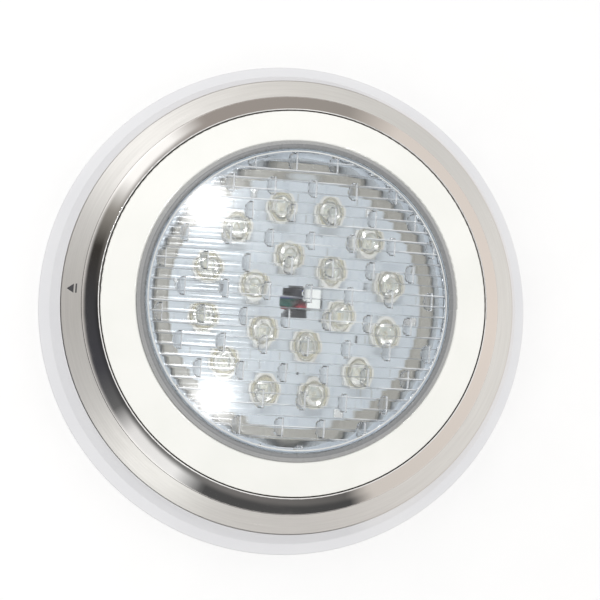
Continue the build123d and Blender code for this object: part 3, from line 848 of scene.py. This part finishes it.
@dataclass
class LensCover:
    """Clear cover: a smooth domed front, and cylinder flutes with half-round bosses behind it."""

    radius: float = 0.0844
    inner_radius: float = 0.0832
    flange_radius: float = 0.0900
    flange: tuple[float, float] = (0.0460, 0.0490)
    edge_round: float = 0.0011
    bead: tuple[float, float, float] = (0.0823, 0.0831, 0.00022)
    crown: float = 0.0600
    sphere: float = 0.850
    wall: float = 0.0032
    flute_depth: float = 0.0005
    ridge: float = 0.55
    columns_per_flute: int = 8
    end_turns: tuple[float, ...] = (1.7, 3.4, 5.1)
    row: float = 0.0005725
    boss_depth: float = 0.0013

    def front_height(self, radius: float) -> float:
        """Height of the dome's front at a radius."""
        return self.crown - radius * radius / (2 * self.sphere)

    def profile(self) -> list[tuple[float, float]]:
        """Front, rounded edge, wall and flange, from the crown to the inside of the wall."""
        flat = self.radius - self.edge_round
        inside, outside, rise = self.bead
        points = [(inside * i / 24, self.front_height(inside * i / 24)) for i in range(25)]
        for share, lift in ((0.15, 0.8), (0.5, 1.0), (0.85, 0.8), (1.0, 0.0)):
            radius = inside + (outside - inside) * share
            points.append((radius, self.front_height(radius) + rise * lift))
        points.append((flat, self.front_height(flat)))
        top = self.front_height(flat)
        for i in range(1, 7):
            turn = math.radians(15 * i)
            points.append((flat + self.edge_round * math.sin(turn),
                           top - self.edge_round * (1 - math.cos(turn))))
        low, high = self.flange
        points += [(self.radius, high + 0.0003), (self.radius + 0.0003, high),
                   (self.flange_radius - 0.0004, high),
                   (self.flange_radius, high - 0.0004), (self.flange_radius, low + 0.0004),
                   (self.flange_radius - 0.0004, low), (self.inner_radius, low),
                   (self.inner_radius, self.front_height(self.inner_radius) - self.wall)]
        return points

    def flute(self, x: float) -> float:
        """How far a flute bulges at x: 1 on its crest, 0 beside its cusps, with a thin ridge on them."""
        share = ((x - RELIEF.first[0]) / RELIEF.flute_pitch + 0.5) % 1.0 - 0.5
        ridge = self.ridge if abs(share) > 0.5 - 0.25 / self.columns_per_flute else 0.0
        return 1 - (2 * share) ** 2 + ridge

    def boss(self, x: float, y: float) -> float:
        """How far a half-round boss stands out at a point, from 0 to 1."""
        index = round((x - RELIEF.first[0]) / RELIEF.row_pitch)
        across = (x - RELIEF.first[0] - index * RELIEF.row_pitch) / RELIEF.half_width
        if abs(across) >= 1:
            return 0.0
        shift = RELIEF.boss_pitch / 2 if index % 2 else 0.0
        along = (y - RELIEF.first[1] - shift) % RELIEF.boss_pitch
        reach = RELIEF.length * (1 - abs(across) ** 3) ** 0.5
        if along < -1e-9 or along > reach:
            return 0.0
        return 1 - 0.75 * along / RELIEF.length

    def back_height(self, x: float, y: float) -> float:
        """Height of the back of the dome at a point, flutes and bosses included."""
        radius = math.hypot(x, y)
        fade = min(1.0, max(0.0, (self.inner_radius - radius) / 0.0012))
        relief = self.flute_depth * self.flute(x) + self.boss_depth * self.boss(x, y)
        return self.front_height(radius) - self.wall - relief * fade

    def stops(self, first: float, step: float, end_turns: Sequence[float] = ()) -> list[float]:
        """Grid lines across the back, from wall to wall.

        Args:
            first: A line that the grid has to hold.
            step: Distance between lines.
            end_turns: Bearings, in degrees, of extra lines that round the wall at its ends.

        Returns:
            The lines' places, in order.
        """
        reach = self.inner_radius
        low = math.ceil((-reach - first) / step + 0.25)
        high = math.floor((reach - first) / step - 0.25)
        lines = [first + step * i for i in range(low, high + 1)]
        ends = [reach * math.cos(math.radians(turn)) for turn in end_turns]
        return sorted([-reach, *[-end for end in ends], *lines, *ends, reach])

    def back(self) -> bpy.types.Object:
        """The fluted back, as a grid with its outside drawn in to the wall's circle.

        Returns:
            The grid, in object mode.
        """
        column = RELIEF.flute_pitch / self.columns_per_flute
        xs = self.stops(RELIEF.first[0], column, self.end_turns)
        ys = self.stops(RELIEF.first[1], self.row)
        Bench.clear_selection()
        bpy.ops.mesh.primitive_grid_add(x_subdivisions=len(xs) - 1, y_subdivisions=len(ys) - 1, size=1.0)
        grid = Bench.take("lens_cover")
        for vertex in grid.data.vertices:
            x = xs[round((vertex.co.x + 0.5) * (len(xs) - 1))]
            y = ys[round((vertex.co.y + 0.5) * (len(ys) - 1))]
            chord = math.sqrt(max(0.0, self.inner_radius ** 2 - x * x))
            y = max(-chord, min(chord, y))
            vertex.co = (x, y, self.back_height(x, y))
        bpy.ops.object.mode_set(mode="EDIT")
        bpy.ops.mesh.select_all(action="SELECT")
        bpy.ops.mesh.remove_doubles(threshold=0.00001)
        bpy.ops.mesh.dissolve_degenerate(threshold=0.000005)
        bpy.ops.object.mode_set(mode="OBJECT")
        return grid

    def close_front(self) -> None:
        """Draws the grid's edge down the wall, round the flange and up over the dome to the crown."""
        bpy.ops.object.mode_set(mode="EDIT")
        bpy.ops.mesh.select_mode(type="EDGE")
        bpy.ops.mesh.select_all(action="DESELECT")
        bpy.ops.mesh.select_non_manifold()
        route = list(reversed(self.profile()))
        for (r0, z0), (r1, z1) in zip(route, route[1:]):
            bpy.ops.mesh.extrude_region_move(TRANSFORM_OT_translate={"value": (0, 0, z1 - z0)})
            if r1 > 0:
                bpy.ops.transform.resize(value=(r1 / r0, r1 / r0, 1), center_override=(0, 0, 0))
        bpy.ops.mesh.merge(type="CENTER")
        bpy.ops.mesh.select_all(action="SELECT")
        bpy.ops.mesh.normals_make_consistent(inside=False)
        bpy.ops.mesh.select_mode(type="VERT")
        bpy.ops.object.mode_set(mode="OBJECT")

    def paint_bead_highlight(self, cover: bpy.types.Object, paints: Paintbox) -> None:
        """Gives the raised bead near the edge of the front an opaque white finish, a painted highlight
        along it.

        Args:
            cover: The closed cover.
            paints: Where the finishes come from.
        """
        paints.dress(cover, "clear_pc")
        # Painted highlight: the bead's faces take opaque white.
        cover.data.materials.append(paints.material("bead_painted_highlight"))
        inside, outside, _ = self.bead
        for face in cover.data.polygons:
            middle = face.center.xy.length
            on_front = face.center.z > self.front_height(middle) - 0.0001
            face.material_index = int(inside < middle < outside and on_front)

    def build(self, paints: Paintbox) -> None:
        """Builds the cover and puts it in place of the CAD lens.

        Args:
            paints: Where its finishes come from.
        """
        cover = self.back()
        self.close_front()
        Bench.smooth(cover, 9.0)
        self.paint_bead_highlight(cover, paints)
        seat(cover, Body.LAMP, ["lens"])


@dataclass
class LedOptic:
    """One collimating lens over an LED, with a stepped front, a cone and a hollow for the chip."""

    radius: float = 0.0078
    front: float = 0.0457
    rim: float = 0.0448
    foot: float = 0.0397
    foot_radius: float = 0.0036
    hollow_radius: float = 0.0024
    hollow_top: float = 0.0428
    dish_radius: float = 0.0036
    dish_depth: float = 0.0009
    steps: int = 48

    def profile(self) -> list[tuple[float, float]]:
        """Profile from the middle of the front, out, down the cone and up into the hollow."""
        front = [(0.0, self.front - self.dish_depth),
                 (self.dish_radius * 0.5, self.front - 0.8 * self.dish_depth),
                 (self.dish_radius, self.front - 0.35 * self.dish_depth),
                 (self.dish_radius + 0.0002, self.front),
                 (self.radius - 0.0003, self.front), (self.radius, self.front - 0.0003)]
        cone = [(self.radius, self.rim), (self.radius - 0.0005, self.rim - 0.0002)]
        for i in range(1, 6):
            share = i / 5
            sweep = share ** 0.7
            cone.append((self.radius - 0.0005 - (self.radius - 0.0005 - self.foot_radius) * share,
                         self.rim - 0.0002 - (self.rim - 0.0002 - self.foot) * sweep))
        hollow = [(self.hollow_radius, self.foot), (self.hollow_radius - 0.0003, self.hollow_top - 0.0004),
                  (self.hollow_radius * 0.5, self.hollow_top - 0.0001), (0.0, self.hollow_top)]
        return front + cone + hollow

    def build(self) -> bpy.types.Object:
        """Turns the profile at the optical axis.

        Returns:
            The optic, unseated.
        """
        optic = Bench.lathe("optic_pattern", self.profile(), self.steps)
        Bench.smooth(optic, 35.0)
        return optic


@dataclass
class OpticSet:
    """The optics over the outer and inner circles of LEDs."""

    turn: float = 4.0
    circles: tuple[tuple[int, float, float], ...] = ((12, 0.0532, 9.0), (6, 0.0256, 10.0))

    def places(self) -> list[tuple[float, float]]:
        """Centre of each LED."""
        found = []
        for count, radius, first in self.circles:
            for i in range(count):
                turn = math.radians(first + self.turn + 360 * i / count)
                found.append((radius * math.cos(turn), radius * math.sin(turn)))
        return found

    def build(self, paints: Paintbox) -> None:
        """Copies one optic to every LED and replaces the CAD optics.

        Args:
            paints: Where the finish comes from.
        """
        pattern = LedOptic().build()
        for index, (x, y) in enumerate(self.places()):
            optic = Bench.copy(pattern, f"led_optic_{index + 1:02d}")
            optic.data.transform(Matrix.Translation((x, y, 0)))
            paints.dress(optic, "optic_clear")
            seat(optic, Body.LAMP, ["led_optics"] if index == 0 else [])
        bpy.data.objects.remove(pattern)


@dataclass
class BoardParts:
    """Small surface parts on the LED board: chip resistors with tinned ends."""

    board_top: float = 0.0370
    length: float = 0.0030
    width: float = 0.0013
    height: float = 0.0006
    cap: float = 0.0004
    row_y: float = -0.0143
    row_x: tuple[float, ...] = (-0.0092, -0.0052, -0.0012, 0.0028, 0.0068)
    loose: tuple[tuple[float, float, float], ...] = (
        (0.0425, 0.0395, 42.0), (0.0385, 0.0430, 42.0), (-0.0400, -0.0030, 8.0), (0.0395, -0.0120, 70.0),
        (-0.0360, 0.0190, 30.0), (0.0120, -0.0395, 95.0), (0.0060, 0.0405, 0.0), (-0.0200, -0.0360, 50.0))

    def resistor(self) -> bpy.types.Object:
        """One chip resistor at the origin, lying along X.

        Returns:
            The resistor with two material slots, body and ends.
        """
        Bench.clear_selection()
        middle = self.board_top + self.height / 2 + 0.00002
        bpy.ops.mesh.primitive_cube_add(size=1.0, location=(0, 0, middle),
                                        scale=(self.length, self.width, self.height))
        chip = Bench.take("resistor_pattern")
        Bench.settle(chip)
        bpy.ops.object.mode_set(mode="EDIT")
        for side in (-1, 1):
            bpy.ops.mesh.select_all(action="SELECT")
            bpy.ops.mesh.bisect(plane_co=(side * (self.length / 2 - self.cap), 0, 0), plane_no=(1, 0, 0))
        bpy.ops.mesh.select_all(action="SELECT")
        bpy.ops.mesh.bevel(offset=0.00007, segments=1, affect="EDGES")
        bpy.ops.object.mode_set(mode="OBJECT")
        return chip

    def build(self, paints: Paintbox) -> None:
        """Places the resistors and joins them to one piece.

        Args:
            paints: Where the finishes come from.
        """
        pattern = self.resistor()
        pattern.data.materials.append(paints.material("chip_black"))
        pattern.data.materials.append(paints.material("solder_tin"))
        for face in pattern.data.polygons:
            face.material_index = int(abs(face.center.x) > self.length / 2 - self.cap)
        spots = [(x, self.row_y, 0.0) for x in self.row_x] + list(self.loose)
        copies = []
        for index, (x, y, angle) in enumerate(spots):
            part = Bench.copy(pattern, f"resistor_{index}")
            turn = Matrix.Rotation(math.radians(angle), 4, "Z")
            part.data.transform(Matrix.Translation((x, y, 0)) @ turn)
            copies.append(part)
        bpy.data.objects.remove(pattern)
        seat(Bench.join("board_resistors", copies), Body.LAMP)


@dataclass
class TrimRing:
    """Pressed steel ring: its CAD shape is right, so it only takes its finish."""

    node: str = "trim_ring"
    finish: str = "stainless_trim"

    def build(self, paints: Paintbox) -> None:
        """Dresses the CAD ring.

        Args:
            paints: Where the finish comes from.
        """
        paints.dress(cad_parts[self.node], self.finish)
        LOG.info("%s dressed", self.node)


# ---------------------------------------------------------------- studio

@dataclass
class Softbox:
    """One round studio light, aimed at the object."""

    name: str
    direction: Point
    distance: float
    size: tuple[float, float]
    watts: float
    colour: Colour = (1.0, 1.0, 1.0)

    def build(self) -> None:
        """Adds the light."""
        data = bpy.data.lights.new(self.name, "AREA")
        data.shape = "ELLIPSE"
        data.size, data.size_y = self.size
        data.energy = self.watts
        data.color = self.colour
        light = bpy.data.objects.new(self.name, data)
        bpy.context.scene.collection.objects.link(light)
        towards = Vector(self.direction).normalized()
        light.location = towards * self.distance
        light.rotation_mode = "QUATERNION"
        light.rotation_quaternion = towards.to_track_quat("Z", "Y")


@dataclass
class Studio:
    """Pale table, bright room with dim low surroundings on one side, and the camera."""

    table_reach: float = 1.1
    aim: Point = (0.0045, -0.0070, 0.0)
    stand: Point = (-0.04908, 0.06799, 0.59987)
    up_turn: float = 3.2
    lens: float = 60.0
    sensor: float = 36.0
    ceiling: float = 0.82
    slant: float = 0.105
    low: tuple[tuple[float, Colour], ...] = (
        (-180, (0.06, 0.06, 0.065)), (-160, (0.07, 0.07, 0.08)), (-146, (0.16, 0.16, 0.16)),
        (-137, (0.95, 0.94, 0.93)), (-119, (1.05, 1.05, 1.04)), (-109, (0.09, 0.09, 0.09)),
        (-63, (0.08, 0.08, 0.08)), (-56, (0.75, 0.70, 0.65)), (0, (0.90, 0.81, 0.74)),
        (58, (0.82, 0.75, 0.69)), (72, (0.38, 0.35, 0.32)), (112, (0.40, 0.36, 0.33)),
        (123, (1.25, 1.23, 1.20)), (139, (1.25, 1.23, 1.20)), (150, (0.35, 0.33, 0.30)),
        (162, (0.05, 0.045, 0.04)), (180, (0.06, 0.06, 0.065)))
    deep: tuple[tuple[float, Colour], ...] = (
        (-180, (0.03, 0.03, 0.03)), (-160, (0.05, 0.05, 0.055)), (-146, (0.08, 0.08, 0.08)),
        (-133, (0.16, 0.16, 0.155)), (-119, (0.22, 0.22, 0.215)), (-105, (0.22, 0.21, 0.205)),
        (-64, (0.15, 0.145, 0.14)), (-57, (0.75, 0.70, 0.65)), (0, (0.90, 0.81, 0.74)),
        (58, (0.82, 0.75, 0.69)), (72, (0.38, 0.35, 0.32)), (112, (0.40, 0.36, 0.33)),
        (124, (0.50, 0.48, 0.46)), (139, (0.46, 0.44, 0.42)), (150, (0.34, 0.32, 0.29)),
        (163, (0.16, 0.15, 0.14)), (180, (0.03, 0.03, 0.03)))
    middle: tuple[tuple[float, Colour], ...] = (
        (-180, (0.72, 0.69, 0.66)), (-150, (0.86, 0.84, 0.82)), (-134, (1.45, 1.42, 1.38)),
        (-117, (1.55, 1.54, 1.49)), (-106, (0.95, 0.92, 0.89)), (-60, (0.98, 0.94, 0.91)),
        (-15, (1.12, 1.10, 1.07)), (15, (1.12, 1.10, 1.07)), (50, (0.92, 0.91, 0.89)),
        (90, (1.10, 1.07, 1.03)), (115, (1.36, 1.33, 1.30)), (128, (1.60, 1.57, 1.53)),
        (140, (1.50, 1.47, 1.44)), (155, (0.90, 0.88, 0.86)), (180, (0.72, 0.69, 0.66)))
    boxes: tuple[Softbox, ...] = (
        Softbox("softbox_top", (0.461, 0.198, 1.4325), 1.52, (0.118, 0.108), 2.9),
        Softbox("softbox_low", (-0.264, 0.130, 1.481), 1.51, (0.088, 0.105), 2.1))

    @staticmethod
    def around(kit: NodeKit, turn: Wire, stops: Sequence[tuple[float, Colour]]) -> Wire:
        """A colour that changes round the horizon.

        Args:
            kit: The world's node kit.
            turn: Bearing as a share of a turn, from 0 at -180 degrees.
            stops: Bearings in degrees and their colours.

        Returns:
            The colour.
        """
        shares = [(degrees / 360 + 0.5, colour) for degrees, colour in stops]
        return kit.make("ShaderNodeValToRGB", {"stops": shares}, {0: turn})

    def room(self) -> None:
        """World light: bright overhead, with warm walls and a low band that change with the bearing."""
        world = bpy.data.worlds.new("room")
        bpy.context.scene.world = world
        world.use_nodes = True
        kit = NodeKit(world.node_tree)
        x, y, z = kit.parts(kit.make("ShaderNodeTexCoord", {}, {}, "Generated"))
        bearing = kit.make("ShaderNodeMath", {"operation": "ARCTAN2"}, {0: x, 1: y * -1.0})
        turn = bearing / math.tau + 0.5
        deep = self.around(kit, turn, self.deep)
        low = self.around(kit, turn, self.low)
        middle = self.around(kit, turn, self.middle)
        height = z + (x - y) * (self.slant * math.sqrt(0.5)) + self.slant
        tone = kit.blend(height.ramp(-0.125, -0.085), deep, low)
        tone = kit.blend(height.ramp(-0.042, -0.008), tone, middle)
        tone = kit.blend(z.ramp(0.35, 0.60), tone, (self.ceiling,) * 3)
        seen = kit.make("ShaderNodeLightPath", {}, {}, "Is Camera Ray")
        light = kit.make("ShaderNodeBackground", {}, {0: tone, 1: 1.0})
        plain = kit.make("ShaderNodeBackground", {}, {0: (1.0, 1.0, 1.0), 1: 1.0})
        shown = kit.make("ShaderNodeMixShader", {}, {0: seen, 1: light, 2: plain})
        kit.make("ShaderNodeOutputWorld", {}, {0: shown})

    def floor(self) -> None:
        """The table top, which gloss doesn't see, so that the room's low band shows in the steel."""
        Bench.clear_selection()
        bpy.ops.mesh.primitive_plane_add(size=2 * self.table_reach, location=(0, 0, -0.0002))
        top = Bench.take("table_top")
        Bench.settle(top)
        finish = Moulded("table_white", (0.95, 0.95, 0.95), (0.94, 0.94, 0.94), (0.5, 0.6), 400.0, 0.00001)
        top.data.materials.append(finish.build())
        top.visible_glossy = False

    def camera(self) -> None:
        """The camera, with its long side turned a little from the object's X axis."""
        data = bpy.data.cameras.new("camera")
        data.lens = self.lens
        data.sensor_width = self.sensor
        data.clip_start = 0.01
        data.clip_end = 20.0
        camera = bpy.data.objects.new("camera", data)
        bpy.context.scene.collection.objects.link(camera)
        back = (Vector(self.stand) - Vector(self.aim)).normalized()
        turn = math.radians(self.up_turn)
        hint = Vector((math.cos(turn), math.sin(turn), 0.0))
        right = hint.cross(back).normalized()
        upright = back.cross(right)
        place = Matrix((right, upright, back)).transposed().to_4x4()
        place.translation = Vector(self.stand)
        camera.matrix_world = place
        bpy.context.scene.camera = camera

    def build(self) -> None:
        """Sets up the room, the table, the lights and the camera."""
        bpy.context.scene.view_settings.view_transform = "Standard"
        self.room()
        self.floor()
        for box in self.boxes:
            box.build()
        self.camera()
        LOG.info("studio ready")


def main() -> None:
    """Builds every sub-assembly in order."""
    logging.basicConfig(level=logging.INFO, format="%(name)s: %(message)s")
    paints = Paintbox()
    paints.dress_cad()
    builders: list[Callable[[], None]] = [
        lambda: TrimRing().build(paints),
        lambda: LensCover().build(paints),
        lambda: OpticSet().build(paints),
        lambda: BoardParts().build(paints),
        Studio().build,
    ]
    for build in builders:
        build()


if __name__ == "__main__":
    main()
